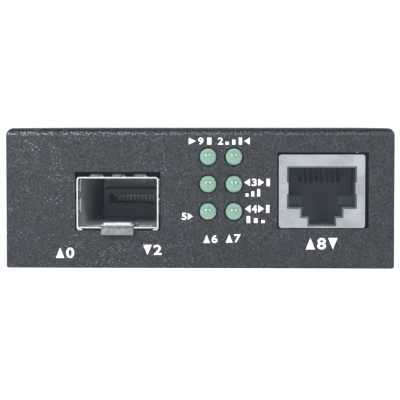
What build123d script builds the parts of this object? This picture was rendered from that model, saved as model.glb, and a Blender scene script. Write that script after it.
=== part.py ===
from build123d import *
import os

# Fibre media converter in a folded steel case. On the front, an SFP cage, six lamps and an RJ45 jack.
# On the rear, a DC power inlet. Inside, the converter board on four spacers.
# Millimetres, +Z up, the front faces -Y. The origin is the centre of the underside.

os.makedirs("parts", exist_ok=True)


def save(piece, label):
    """Name one finished piece and write it as its own STEP file."""
    piece.part.label = label
    export_step(piece.part, f"parts/{label}.step")


# Case
width = 71.0
depth = 94.0
height = 25.6
sheet = 1.0  # steel of the cover and the base
fold_radius = 1.35  # outside of the cover's folds
corner_radius = 0.5  # upright front corners, and the front flap's lower corners
corner_slit = 0.15  # seam between the front flap and each side flap
slide_gap = 0.2  # between the cover and the base that slides into it
base_fold = 1.2  # outside of the base's folds
flange_height = 8.5
top_lip = 6.0  # rear panel's lip under the cover's top

# Side vents
vent_count = 8
vent_pitch = 5.5
vent_width = 2.2
vent_length = 10.0
vent_corner = 0.6  # cut off each corner of a slot
vent_from_top = 10.1  # middle of the slots

# Side screws, M3 countersunk, two a side
side_screw_from_front = 17.0
side_screw_from_rear = 13.0
side_screw_z = 4.6
side_head_radius = 2.7
side_screw_length = 4.0
thread_radius = 1.5
screw_play = 0.05  # round a screw's shank and under its cone
recess_span = 2.7  # cross recess in every screw's head
recess_width = 0.55
recess_depth = 0.95

# Board and its spacers
board_side_gap = 2.3  # to the base's flanges
board_thickness = 1.6
board_low_room = 0.6  # more room under the board than over the RJ45 jack
board_front_gap = 1.5  # to the front panel's inner face
board_rear_gap = 1.5
hole_inset_x = 3.4  # board hole to the board's side edge
hole_inset_rear = 6.5
left_hole_inset_front = 6.5
right_hole_inset_front = 24.0  # behind the RJ45 jack
spacer_across = 5.0  # across flats
spacer_foot_across = 5.6  # across flats, flush in the base
spacer_floor = 0.4  # left under the spacer's blind hole
board_hole_radius = 1.6
pan_head_radius = 2.75
pan_head_height = 1.9
board_screw_tip_gap = 0.5  # over the base's plate

# SFP cage
cage_from_side = 20.52  # its middle from the left side
cage_width = 14.95
cage_height = 9.7  # above the board
cage_length = 48.7
cage_reach = 0.6  # mouth ahead of the front panel
cage_sheet = 0.25
cage_fold = 0.6
lip_length = 1.0  # side walls curled in under the floor
lip_fold = 0.45
floor_play = 0.1  # floor above the lips
cage_pin_length = 2.6
cage_pin_width = 0.8
cage_pins_a_side = 5
first_cage_pin = 6.5  # behind the mouth
last_cage_pin = 2.2  # ahead of the cage's rear
sfp_window_width = 15.75
sfp_window_gap_top = 0.95
sfp_window_gap_below = 0.15
sfp_notch_width = 6.6
sfp_notch_depth = 0.95

# Lanced fingers round the cage's mouth
finger_width = 2.0
finger_length = 4.6
finger_start = 0.3
finger_ramp = (0.5, 0.7)  # length of the steep start, and its rise as a share of the bulge
finger_crest = (1.5, 2.6)  # from the root
finger_end_rise = 0.4  # free end, as a share of the bulge
top_finger_bulge = 0.6
side_finger_bulge = 0.34
floor_finger_bulge = 0.25
finger_slot = 0.25
top_finger_pitch = 4.0
side_finger_heights = (4.4, 8.0)  # above the board
floor_finger_pitch = 9.8

# Latch tongue, one piece with the cage's floor
tongue_width = 5.0
tongue_length = 12.0
tongue_slot = 0.5
tongue_rise = 0.95
ramp_foot = 3.2  # behind the cage's mouth
ramp_head = 1.3
ramp_foot_radius = 1.0
ramp_head_radius = 0.5
crest_reach = 0.45  # ahead of the cage's mouth
crest_radius = 0.3
tab_root_reach = 0.15
tab_radius = 0.4
tab_width = 5.9
tab_reach = 1.3
tab_drop = 1.25  # below the floor
latch_hole_width = 2.9
latch_hole_length = 1.9
latch_hole_from_mouth = 7.3

# SFP connector
connector_rear_room = 3.5  # from its rear to the cage's rear
connector_width = 11.4
connector_height = 6.2
connector_length = 9.2
card_slot_width = 9.2
card_slot_height = 1.9
card_slot_z = 4.0  # above the board
sfp_pitch = 0.8
sfp_contacts_a_row = 10
sfp_contact_width = 0.35
sfp_contact_sheet = 0.2
sfp_contact_bow = 0.3
sfp_contact_setback = 0.5  # behind the connector's face
sfp_bow_from_face = 2.3
sfp_tail_gap = 0.4
sfp_foot_length = 0.8
slot_bevel = 0.25

# RJ45 jack
jack_from_side = 13.22  # its middle from the right side
jack_width = 15.6
jack_height = 13.3
jack_depth = 21.3
jack_reach = 0.5  # face ahead of the front panel
jack_lift = 0.5  # housing's feet hold the shell off the board
jack_sheet = 0.25
jack_nick = 0.3
jack_window_width = 16.67
jack_window_shift = 0.2  # window's centre beside the jack's
jack_window_gap_top = 0.44
jack_window_gap_below = 0.15
mouth_width = 12.77
mouth_top = 2.1  # below the shell's top
mouth_height = 7.79
step_width = 7.92
step_height = 1.67
notch_width = 5.32  # its foot is the shell's bottom sheet
housing_inset = 0.3  # plastic edge inside the shell's mouth
housing_play = 0.05  # housing inside the shell
cavity_depth = 13.8
stop_width = 2.65
stop_height = 1.7
stop_length = 2.0
contact_pitch = 1.02
contact_count = 8
contact_wire = 0.35
contact_groove = 0.6
contact_start = 4.7  # hairpins behind the jack's face
contact_drop = 2.5  # free ends below the hairpins
contact_row_gap = 2.54
wire_channel_height = 1.1  # over the cavity's ceiling
duct_wall = 0.5  # between the comb and the duct down to the board
spring_height = 2.13  # side springs in the shell's mouth
spring_drop = 2.92  # their top, below the mouth's top
spring_poke = 0.27
spring_length = 5.0
shell_floor_length = 6.0  # bottom sheet, behind the jack's face
shell_tab_from_face = 12.4
shell_tab_width = 1.6
peg_radius = 1.6
peg_collar = 0.12  # wider round the pegs, down to the board
peg_spread = 11.4
peg_from_face = 8.9
hole_play = 0.1  # board holes wider than what passes through them

# Lamps
lamp_column_xs = (1.54, 6.27)
lamp_row_heights = (3.4, 8.4, 13.4)  # above the board
lamp_radius = 1.5
lamp_flange_radius = 1.9
lamp_flange_length = 0.9
lamp_body_length = 2.5  # ahead of the flange, dome included
lamp_hole_radius = 1.85
lamp_panel_gap = 0.1
lead_size = 0.5
lead_pitch = 2.0
lead_step = 1.3  # each row's leads drop this far behind the row below
lead_below = 1.2  # under the board
holder_width = 4.4
holder_length = 6.0
holder_above = 2.0

# DC inlet
inlet_from_side = 18.5  # its middle from the left side
inlet_axis_height = 6.5  # above the board
inlet_width = 9.0
inlet_height = 10.9
inlet_length = 14.2
inlet_nose_radius = 4.1
inlet_nose_length = 1.0
inlet_bore_radius = 3.2
inlet_bore_depth = 10.4
inlet_pin_radius = 1.0
inlet_pin_length = 9.6  # from the bore's floor
inlet_root_radius = 1.3  # pin's root, in the body behind the bore
inlet_top_radius = 1.8
inlet_panel_gap = 0.3
inlet_hole_play = 0.15
tag_width = 2.4
tag_sheet = 0.4
tag_below = 3.0  # under the board's top

# Board components
transformer_from_jack = (-0.48, 18.2)  # beside the jack's middle and behind its rear
transformer_size = (15.2, 9.0, 5.4)
transformer_bevel = 0.5
transformer_leads_a_side = 12
transformer_lead_pitch = 1.27
lead_sheet = 0.4
lead_shoulder = 2.0  # top of the leads above the board
chip_from_front = (3.5, 51.0)  # beside the case's middle and behind the front
chip_size = (9.0, 9.0, 0.9)
chip_dimple_radius = 0.45
chip_dimple_depth = 0.18
crystal_from_cage = 8.0  # behind the cage's rear
crystal_size = (11.0, 4.7, 3.4)
crystal_rim = 0.4
inductor_from_inlet = 19.0
inductor_from_rear = 11.5  # ahead of the board's rear edge
inductor_size = (7.3, 7.3, 4.2)
inductor_corner = 1.2
inductor_pot_radius = 3.25
regulator_from_inlet = 30.0
regulator_from_rear = 17.5
regulator_body = (6.5, 3.7, 2.3)
regulator_span = 6.1  # over its tab and leads
regulator_tab_width = 5.2
regulator_lead_width = 0.8
regulator_lead_pitch = 2.2
capacitor_from_inlet = 11.5
input_capacitor_from_rear = 8.5
output_capacitor_from_rear = 18.0
capacitor_radius = 3.15
capacitor_height = 7.7
capacitor_base = 6.6
capacitor_base_height = 1.0
capacitor_base_corner = 1.3
capacitor_groove = (0.8, 0.2)  # height and depth
passives_from_jack = (-0.28, 31.2)
passive_size = (2.0, 1.25, 0.6)
passive_pitch = (4.0, 3.2)
passive_column_count = 3
passive_row_count = 4

# Places that follow
half_width = width / 2
front_y = -depth / 2
rear_y = depth / 2
panel_inner_y = front_y + sheet
rear_panel_inner_y = rear_y - sheet
base_half_width = half_width - sheet - slide_gap
base_top_z = height - sheet - slide_gap
vent_z = height - vent_from_top
side_screw_ys = (front_y + side_screw_from_front, rear_y - side_screw_from_rear)
board_width = 2 * (base_half_width - sheet - board_side_gap)
free_height = height - 2 * sheet - board_thickness - jack_lift - jack_height
board_lift = (free_height + board_low_room) / 2
board_screw_length = board_thickness + board_lift - board_screw_tip_gap
board_bottom_z = sheet + board_lift
board_z = board_bottom_z + board_thickness
board_front_y = panel_inner_y + board_front_gap
board_rear_y = rear_panel_inner_y - board_rear_gap
board_length = board_rear_y - board_front_y
board_mid_y = (board_front_y + board_rear_y) / 2
left_hole_x = -board_width / 2 + hole_inset_x
right_hole_x = board_width / 2 - hole_inset_x
board_holes = [
    (left_hole_x, board_front_y + left_hole_inset_front),
    (right_hole_x, board_front_y + right_hole_inset_front),
    (left_hole_x, board_rear_y - hole_inset_rear),
    (right_hole_x, board_rear_y - hole_inset_rear),
]

cage_x = cage_from_side - half_width
cage_half = cage_width / 2
cage_front_y = front_y - cage_reach
cage_rear_y = cage_front_y + cage_length
cage_top_z = board_z + cage_height
cage_wall_x = cage_half - cage_sheet / 2
floor_z = board_z + cage_sheet + floor_play
lip_rear_y = board_front_y - slide_gap
connector_rear_y = cage_rear_y - connector_rear_room
connector_front_y = connector_rear_y - connector_length
floor_rear_y = connector_front_y - slide_gap
card_z = board_z + card_slot_z

jack_x = half_width - jack_from_side
jack_front_y = front_y - jack_reach
jack_rear_y = jack_front_y + jack_depth
jack_bottom_z = board_z + jack_lift
jack_top_z = jack_bottom_z + jack_height
mouth_top_z = jack_top_z - mouth_top
mouth_bottom_z = mouth_top_z - mouth_height
step_bottom_z = mouth_bottom_z - step_height
notch_bottom_z = jack_bottom_z + jack_sheet
duct_front_y = jack_front_y + cavity_depth + 2 * contact_groove + duct_wall
duct_rear_y = duct_front_y + contact_row_gap + 3 * contact_wire
hairpin_y = jack_front_y + contact_start + contact_wire / 2
wire_channel_front_y = jack_front_y + contact_start - contact_wire / 2
wire_top_z = mouth_top_z - housing_inset + wire_channel_height - contact_wire
contact_xs = [jack_x + contact_pitch * (i - (contact_count - 1) / 2) for i in range(contact_count)]

lamp_front_y = panel_inner_y + lamp_panel_gap  # front of the lamps' flanges
lamp_tip_y = lamp_front_y - lamp_body_length
holder_front_y = lamp_front_y + lamp_flange_length
holder_rear_y = holder_front_y + holder_length
lamp_row_zs = [board_z + above for above in lamp_row_heights]
lamp_centres = [(x, z) for x in lamp_column_xs for z in lamp_row_zs]
lead_offsets = (-lead_pitch / 2, lead_pitch / 2)

inlet_x = inlet_from_side - half_width
inlet_z = board_z + inlet_axis_height
inlet_rear_y = rear_panel_inner_y - inlet_panel_gap  # the body's face behind the panel
inlet_nose_y = inlet_rear_y + inlet_nose_length
inlet_bore_y = inlet_nose_y - inlet_bore_depth  # bore's floor
inlet_back_y = inlet_rear_y - inlet_length
pin_tag_y = inlet_back_y + tag_sheet / 2
spring_tag_y = inlet_bore_y + tag_width

front_plane = Plane.XZ.offset(-front_y)


def side_plane(side, x):
    """An upright plane facing outwards at x on the left (-1) or right (1); its first axis is side * Y."""
    return Plane(origin=(side * x, 0, 0), x_dir=(0, side, 0), z_dir=(side, 0, 0))


def across(y):
    """An upright plane facing the front at y, with X and Z as its axes."""
    return Plane.XZ.offset(-y)


# Cover: one sheet folded down at the front and both sides, its front corners closed
with BuildPart() as cover:
    with BuildSketch(Plane.XY):
        Rectangle(width, depth)
    extrude(amount=height)
    fillet(cover.edges().filter_by(Axis.Z).group_by(Axis.Y)[0], radius=corner_radius)
    fillet(cover.faces().sort_by(Axis.Z)[-1].edges().group_by(Axis.Y)[:-1], radius=fold_radius)
    with BuildSketch(Plane.XY):
        with Locations((0, sheet / 2)):
            Rectangle(width - 2 * sheet, depth - sheet)
    extrude(amount=height - sheet, mode=Mode.SUBTRACT)
    inner_folds = cover.edges().filter_by_position(
        Axis.Z, height - sheet - slide_gap / 10, height - sheet + slide_gap / 10
    )
    fillet(inner_folds.group_by(Axis.Y)[:-1], radius=fold_radius - sheet)
    # open seams beside the front flap, ending in the folds
    with BuildSketch(Plane.XY):
        with Locations(
            (-half_width + sheet / 2, panel_inner_y + corner_slit / 2),
            (half_width - sheet / 2, panel_inner_y + corner_slit / 2),
        ):
            Rectangle(sheet, corner_slit)
    extrude(amount=height - 2 * fold_radius, mode=Mode.SUBTRACT)
    with BuildSketch(front_plane):
        for side in (-1, 1):
            with Locations((side * half_width, 0)):
                Rectangle(2 * corner_radius, 2 * corner_radius)
            with Locations((side * (half_width - corner_radius), corner_radius)):
                Circle(corner_radius, mode=Mode.SUBTRACT)
    extrude(amount=-sheet, mode=Mode.SUBTRACT)
    # connector windows and lamp holes
    sfp_window_low = board_z - sfp_window_gap_below
    sfp_window_high = cage_top_z + sfp_window_gap_top
    jack_window_low = jack_bottom_z - jack_window_gap_below
    jack_window_high = jack_top_z + jack_window_gap_top
    with BuildSketch(front_plane):
        with Locations((cage_x, sfp_window_low)):
            Rectangle(
                sfp_window_width,
                sfp_window_high - sfp_window_low,
                align=(Align.CENTER, Align.MIN),
            )
            Rectangle(sfp_notch_width, 2 * sfp_notch_depth)
        with Locations((jack_x + jack_window_shift, jack_window_low)):
            Rectangle(
                jack_window_width,
                jack_window_high - jack_window_low,
                align=(Align.CENTER, Align.MIN),
            )
        with Locations(*lamp_centres):
            Circle(lamp_hole_radius)
    extrude(amount=-sheet, mode=Mode.SUBTRACT)
    # vents, cut through both side walls at once
    with BuildSketch(Plane.YZ.offset(-half_width)):
        with Locations((0, vent_z)):
            with GridLocations(vent_pitch, 0, vent_count, 1):
                Rectangle(vent_width, vent_length)
        chamfer(vertices(), length=vent_corner)
    extrude(amount=width, mode=Mode.SUBTRACT)
    for side in (-1, 1):
        with Locations(side_plane(side, half_width)):
            with Locations(*[(side * y, side_screw_z) for y in side_screw_ys]):
                CounterSinkHole(
                    thread_radius + 2 * screw_play,
                    side_head_radius + screw_play,
                    depth=sheet,
                    counter_sink_angle=90,
                )
save(cover, "cover")

# Base: bottom plate, rear panel and top lip in one strip, with a flange folded up along each side
plate_front_y = panel_inner_y + slide_gap
flange_rear_y = rear_panel_inner_y - 2 * base_fold
flange_length = flange_rear_y - plate_front_y
relief_rear_y = flange_rear_y + sheet
with BuildPart() as base:
    with BuildSketch(Plane.YZ):
        with BuildLine():
            FilletPolyline(
                (plate_front_y, 0),
                (rear_y, 0),
                (rear_y, base_top_z),
                (rear_y - top_lip, base_top_z),
                (rear_y - top_lip, base_top_z - sheet),
                (rear_y - sheet, base_top_z - sheet),
                (rear_y - sheet, sheet),
                (plate_front_y, sheet),
                radius=[0, base_fold, base_fold, 0, 0, base_fold - sheet, base_fold - sheet, 0],
                close=True,
            )
        make_face()
    extrude(amount=base_half_width, both=True)
    # the plate's sides stop where the flanges' folds begin
    for side in (-1, 1):
        with BuildSketch(Plane.XY):
            with Locations((side * base_half_width, (plate_front_y + relief_rear_y) / 2)):
                Rectangle(2 * base_fold, relief_rear_y - plate_front_y)
        extrude(amount=sheet, mode=Mode.SUBTRACT)
        inner_x = base_half_width - sheet
        fold_x = base_half_width - base_fold
        with BuildSketch(across(flange_rear_y)):
            with BuildLine():
                FilletPolyline(
                    (side * (fold_x - sheet), 0),
                    (side * base_half_width, 0),
                    (side * base_half_width, flange_height),
                    (side * inner_x, flange_height),
                    (side * inner_x, sheet),
                    (side * (fold_x - sheet), sheet),
                    radius=[0, base_fold, 0, 0, base_fold - sheet, 0],
                    close=True,
                )
            make_face()
        extrude(amount=flange_length)
    with BuildSketch(Plane.YZ):
        with Locations(*[(y, side_screw_z) for y in side_screw_ys]):
            Circle(thread_radius + screw_play)
    extrude(amount=base_half_width, both=True, mode=Mode.SUBTRACT)
    with BuildSketch(Plane.XY):
        with Locations(*board_holes):
            RegularPolygon(spacer_foot_across / 2, 6, major_radius=False)
    extrude(amount=sheet, mode=Mode.SUBTRACT)
    with BuildSketch(across(rear_y)):
        with Locations((inlet_x, inlet_z)):
            Circle(inlet_nose_radius + inlet_hole_play)
    extrude(amount=sheet, mode=Mode.SUBTRACT)
save(base, "base")

# Side screws: countersunk, a cross recess in each head
cone_length = side_head_radius - thread_radius
with BuildPart() as side_screws:
    for side in (-1, 1):
        with BuildSketch(side_plane(side, half_width)):
            with Locations(*[(side * y, side_screw_z) for y in side_screw_ys]):
                Circle(side_head_radius)
        extrude(amount=-cone_length, taper=45)
        with BuildSketch(side_plane(side, half_width)):
            with Locations(*[(side * y, side_screw_z) for y in side_screw_ys]):
                Circle(thread_radius)
        extrude(amount=-side_screw_length)
        with BuildSketch(side_plane(side, half_width)):
            with Locations(*[(side * y, side_screw_z) for y in side_screw_ys]):
                Rectangle(recess_span, recess_width)
                Rectangle(recess_width, recess_span)
        extrude(amount=-recess_depth, mode=Mode.SUBTRACT)
save(side_screws, "side_screws")

# Board spacers: hexagonal, clinched into the base, their wider feet flush with its underside
with BuildPart() as board_spacers:
    with BuildSketch(Plane.XY):
        with Locations(*board_holes):
            RegularPolygon(spacer_foot_across / 2, 6, major_radius=False)
    extrude(amount=sheet)
    with BuildSketch(Plane.XY.offset(sheet)):
        with Locations(*board_holes):
            RegularPolygon(spacer_across / 2, 6, major_radius=False)
    extrude(amount=board_lift)
    with BuildSketch(Plane.XY.offset(spacer_floor)):
        with Locations(*board_holes):
            Circle(thread_radius + screw_play)
    extrude(amount=board_bottom_z - spacer_floor, mode=Mode.SUBTRACT)
save(board_spacers, "board_spacers")

# Board screws: pan heads with a cross recess
with BuildPart() as board_screws:
    with BuildSketch(Plane.XY.offset(board_z)):
        with Locations(*board_holes):
            Circle(pan_head_radius)
    extrude(amount=pan_head_height)
    with BuildSketch(Plane.XY.offset(board_z)):
        with Locations(*board_holes):
            Circle(thread_radius)
    extrude(amount=-board_screw_length)
    with BuildSketch(Plane.XY.offset(board_z + pan_head_height)):
        with Locations(*board_holes):
            Rectangle(recess_span, recess_width)
            Rectangle(recess_width, recess_span)
    extrude(amount=-recess_depth, mode=Mode.SUBTRACT)
save(board_screws, "board_screws")

# Circuit board with its screw holes and the holes that the leads and pins pass through
cage_pin_pitch = (cage_length - first_cage_pin - last_cage_pin) / (cage_pins_a_side - 1)
cage_pin_ys = [
    cage_front_y + first_cage_pin + cage_pin_pitch * i for i in range(cage_pins_a_side)
]
cage_pins = [(cage_x + side * cage_wall_x, y) for side in (-1, 1) for y in cage_pin_ys]
floor_pin_x = tongue_width / 2 + 2 * tongue_slot + cage_pin_width
floor_pins = [(cage_x + side * floor_pin_x, y) for side in (-1, 1) for y in cage_pin_ys[1:3]]
lamp_leads = [
    (x + dx, holder_rear_y + lead_step * (row + 1))
    for x in lamp_column_xs
    for row in range(len(lamp_row_zs))
    for dx in lead_offsets
]
jack_pins = [
    (x, duct_front_y + 1.5 * contact_wire + contact_row_gap * (i % 2))
    for i, x in enumerate(contact_xs)
]
jack_pegs = [(jack_x + side * peg_spread / 2, jack_front_y + peg_from_face) for side in (-1, 1)]
shell_tabs = [
    (jack_x + side * (jack_width - jack_sheet) / 2, jack_front_y + shell_tab_from_face)
    for side in (-1, 1)
]
with BuildPart() as circuit_board:
    with BuildSketch(Plane.XY.offset(board_bottom_z)):
        with Locations((0, board_mid_y)):
            Rectangle(board_width, board_length)
        with Locations(*board_holes):
            Circle(board_hole_radius, mode=Mode.SUBTRACT)
        with Locations(*jack_pegs):
            Circle(peg_radius + hole_play, mode=Mode.SUBTRACT)
        with Locations(*cage_pins, *floor_pins):
            Rectangle(cage_sheet + hole_play, cage_pin_width + hole_play, mode=Mode.SUBTRACT)
        with Locations(*lamp_leads, *jack_pins):
            Rectangle(lead_size + hole_play, lead_size + hole_play, mode=Mode.SUBTRACT)
        with Locations(*shell_tabs):
            Rectangle(jack_sheet + hole_play, shell_tab_width + hole_play, mode=Mode.SUBTRACT)
        with Locations((inlet_x, pin_tag_y), (inlet_x, spring_tag_y)):
            Rectangle(tag_width + hole_play, tag_sheet + hole_play, mode=Mode.SUBTRACT)
    extrude(amount=board_thickness)
save(circuit_board, "circuit_board")

# SFP cage: a shell folded from thin sheet, its side walls curled in under the floor at the mouth
cage_left_x = cage_x - cage_half
cage_right_x = cage_x + cage_half
cage_inner_top_z = cage_top_z - cage_sheet


def finger_plane(x, z, outward):
    """A plane at a finger's root: first axis into the cage along +Y, second axis out of the sheet."""
    return Plane(
        origin=(x, cage_front_y + finger_start, z),
        x_dir=(0, 1, 0),
        z_dir=Vector(0, 1, 0).cross(Vector(*outward)),
    )


def finger_strip(bulge):
    """Side view of a lanced finger, its root at the origin: a steep start, a crest and a free end."""
    under = [
        (0, 0),
        (finger_ramp[0], finger_ramp[1] * bulge),
        (finger_crest[0], bulge),
        (finger_crest[1], bulge),
        (finger_length, finger_end_rise * bulge),
    ]
    with BuildSketch() as strip:
        with BuildLine():
            Polyline(*under, *[(along, rise + cage_sheet) for along, rise in reversed(under)], close=True)
        make_face()
    return strip.sketch


# every finger is cut free on three sides by a slot and stays joined at its front end
finger_window = (finger_length + finger_slot, 2 * cage_sheet)
finger_window_half = finger_width / 2 + finger_slot
top_fingers = [
    finger_plane(cage_x + i * top_finger_pitch, cage_inner_top_z, (0, 0, 1)) for i in (-1, 0, 1)
]
side_fingers = [
    finger_plane(cage_x + side * (cage_half - cage_sheet), board_z + above, (side, 0, 0))
    for side in (-1, 1)
    for above in side_finger_heights
]
floor_fingers = [
    finger_plane(cage_x + side * floor_finger_pitch / 2, floor_z + cage_sheet, (0, 0, -1))
    for side in (-1, 1)
]

with BuildPart() as sfp_cage:
    with BuildSketch(across(cage_front_y)):
        with BuildLine():
            FilletPolyline(
                (cage_left_x + lip_length, board_z),
                (cage_left_x, board_z),
                (cage_left_x, cage_top_z),
                (cage_right_x, cage_top_z),
                (cage_right_x, board_z),
                (cage_right_x - lip_length, board_z),
                (cage_right_x - lip_length, board_z + cage_sheet),
                (cage_right_x - cage_sheet, board_z + cage_sheet),
                (cage_right_x - cage_sheet, cage_inner_top_z),
                (cage_left_x + cage_sheet, cage_inner_top_z),
                (cage_left_x + cage_sheet, board_z + cage_sheet),
                (cage_left_x + lip_length, board_z + cage_sheet),
                radius=[0, lip_fold, cage_fold, cage_fold, lip_fold, 0]
                + [0, lip_fold - cage_sheet, cage_fold - cage_sheet]
                + [cage_fold - cage_sheet, lip_fold - cage_sheet, 0],
                close=True,
            )
        make_face()
    extrude(amount=cage_front_y - lip_rear_y)
    with BuildSketch(across(lip_rear_y)):
        with BuildLine():
            FilletPolyline(
                (cage_left_x, board_z),
                (cage_left_x, cage_top_z),
                (cage_right_x, cage_top_z),
                (cage_right_x, board_z),
                (cage_right_x - cage_sheet, board_z),
                (cage_right_x - cage_sheet, cage_inner_top_z),
                (cage_left_x + cage_sheet, cage_inner_top_z),
                (cage_left_x + cage_sheet, board_z),
                radius=[0, cage_fold, cage_fold, 0, 0]
                + [cage_fold - cage_sheet, cage_fold - cage_sheet, 0],
                close=True,
            )
        make_face()
    extrude(amount=lip_rear_y - cage_rear_y)
    # the rear flap hangs from the top, clear of the side walls
    with BuildSketch(across(cage_rear_y)):
        with Locations((cage_x, cage_top_z - cage_sheet / 2)):
            Rectangle(
                cage_width - 2 * cage_fold,
                cage_height - 2 * cage_sheet,
                align=(Align.CENTER, Align.MAX),
            )
    extrude(amount=cage_sheet)
    with BuildSketch(Plane.XY.offset(board_z)):
        with Locations(*cage_pins):
            Rectangle(cage_sheet, cage_pin_width)
    extrude(amount=-cage_pin_length)
    for planes, bulge in ((top_fingers, top_finger_bulge), (side_fingers, side_finger_bulge)):
        for plane in planes:
            with BuildSketch(plane):
                with Locations((0, cage_sheet / 2)):
                    Rectangle(*finger_window, align=(Align.MIN, Align.CENTER))
            extrude(amount=finger_window_half, both=True, mode=Mode.SUBTRACT)
            with BuildSketch(plane):
                add(finger_strip(bulge))
            extrude(amount=finger_width / 2, both=True)
save(sfp_cage, "sfp_cage")

# Cage floor with its two fingers and the latch tongue
floor_half = cage_half - cage_sheet - floor_play / 2
tongue_rear_y = cage_front_y + tongue_length
tongue_mid_z = floor_z + cage_sheet / 2
tongue_crest_z = tongue_mid_z + tongue_rise
tab_top_z = (tongue_mid_z + cage_sheet + tongue_crest_z) / 2
with BuildPart() as sfp_cage_floor:
    with BuildSketch(Plane.XY.offset(floor_z)):
        with Locations((cage_x, cage_front_y)):
            Rectangle(2 * floor_half, floor_rear_y - cage_front_y, align=(Align.CENTER, Align.MIN))
            Rectangle(
                tongue_width + 2 * tongue_slot,
                tongue_length,
                align=(Align.CENTER, Align.MIN),
                mode=Mode.SUBTRACT,
            )
    extrude(amount=cage_sheet)
    for plane in floor_fingers:
        with BuildSketch(plane):
            with Locations((0, cage_sheet / 2)):
                Rectangle(*finger_window, align=(Align.MIN, Align.CENTER))
        extrude(amount=finger_window_half, both=True, mode=Mode.SUBTRACT)
        with BuildSketch(plane):
            add(finger_strip(floor_finger_bulge))
        extrude(amount=finger_width / 2, both=True)
    # tongue: level, up a ramp, over a crest ahead of the mouth and down into the lead-in tab
    with BuildSketch(Plane.YZ.offset(cage_x)):
        with BuildLine():
            FilletPolyline(
                (tongue_rear_y, tongue_mid_z),
                (cage_front_y + ramp_foot, tongue_mid_z),
                (cage_front_y + ramp_head, tongue_crest_z),
                (cage_front_y - crest_reach, tongue_crest_z),
                (cage_front_y - tab_root_reach, tongue_mid_z + cage_sheet),
                radius=[ramp_foot_radius, ramp_head_radius, crest_radius],
            )
        trace(line_width=cage_sheet)
    extrude(amount=tongue_width / 2, both=True)
    with BuildSketch(Plane.YZ.offset(cage_x)):
        with BuildLine():
            FilletPolyline(
                (cage_front_y - (crest_reach + tab_root_reach) / 2, tab_top_z),
                (cage_front_y - tab_root_reach, tongue_mid_z + cage_sheet),
                (cage_front_y - tab_reach, tongue_mid_z - tab_drop),
                radius=tab_radius,
            )
        trace(line_width=cage_sheet)
    extrude(amount=tab_width / 2, both=True)
    with BuildSketch(Plane.XY.offset(floor_z)):
        with Locations((cage_x, cage_front_y + latch_hole_from_mouth)):
            Trapezoid(latch_hole_width, latch_hole_length, 60)
    extrude(amount=cage_sheet, mode=Mode.SUBTRACT)
    with BuildSketch(Plane.XY.offset(floor_z)):
        with Locations(*floor_pins):
            Rectangle(cage_sheet, cage_pin_width)
    extrude(amount=board_z - cage_pin_length - floor_z)
save(sfp_cage_floor, "sfp_cage_floor")

# SFP connector: a moulded body with the card slot through it and a bevelled mouth
with BuildPart() as sfp_connector:
    with BuildSketch(across(connector_front_y)):
        with Locations((cage_x, board_z)):
            Rectangle(connector_width, connector_height, align=(Align.CENTER, Align.MIN))
        with Locations((cage_x, card_z)):
            Rectangle(card_slot_width, card_slot_height, mode=Mode.SUBTRACT)
    extrude(amount=-connector_length)
    slot_mouth = sfp_connector.faces().sort_by(Axis.Y)[0].inner_wires()[0]
    chamfer(slot_mouth.edges(), length=slot_bevel)
save(sfp_connector, "sfp_connector")

# SFP contacts: leaves on the slot's ceiling and floor, bowed towards the card, tails behind the body
with BuildPart() as sfp_contacts:
    for side in (-1, 1):
        slot_side_z = card_z + side * card_slot_height / 2
        leaf_z = slot_side_z - (sfp_contact_sheet if side > 0 else 0)
        bow_z = leaf_z - side * sfp_contact_bow
        tail_y = connector_rear_y + sfp_tail_gap + (side + 1) * sfp_contact_sheet
        for i in range(sfp_contacts_a_row):
            contact_x = cage_x + sfp_pitch * (i - (sfp_contacts_a_row - 1) / 2 + side / 4)
            with BuildSketch(Plane.YZ.offset(contact_x)):
                with BuildLine():
                    Polyline(
                        (connector_front_y + sfp_contact_setback, leaf_z),
                        (connector_front_y + sfp_bow_from_face, bow_z),
                        (connector_front_y + 2 * sfp_bow_from_face, leaf_z),
                        (tail_y, leaf_z),
                        (tail_y, board_z),
                        (tail_y + sfp_foot_length, board_z),
                    )
                    offset(amount=sfp_contact_sheet, side=Side.LEFT, kind=Kind.INTERSECTION)
                make_face()
            extrude(amount=sfp_contact_width / 2, both=True)
save(sfp_contacts, "sfp_contacts")

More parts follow.
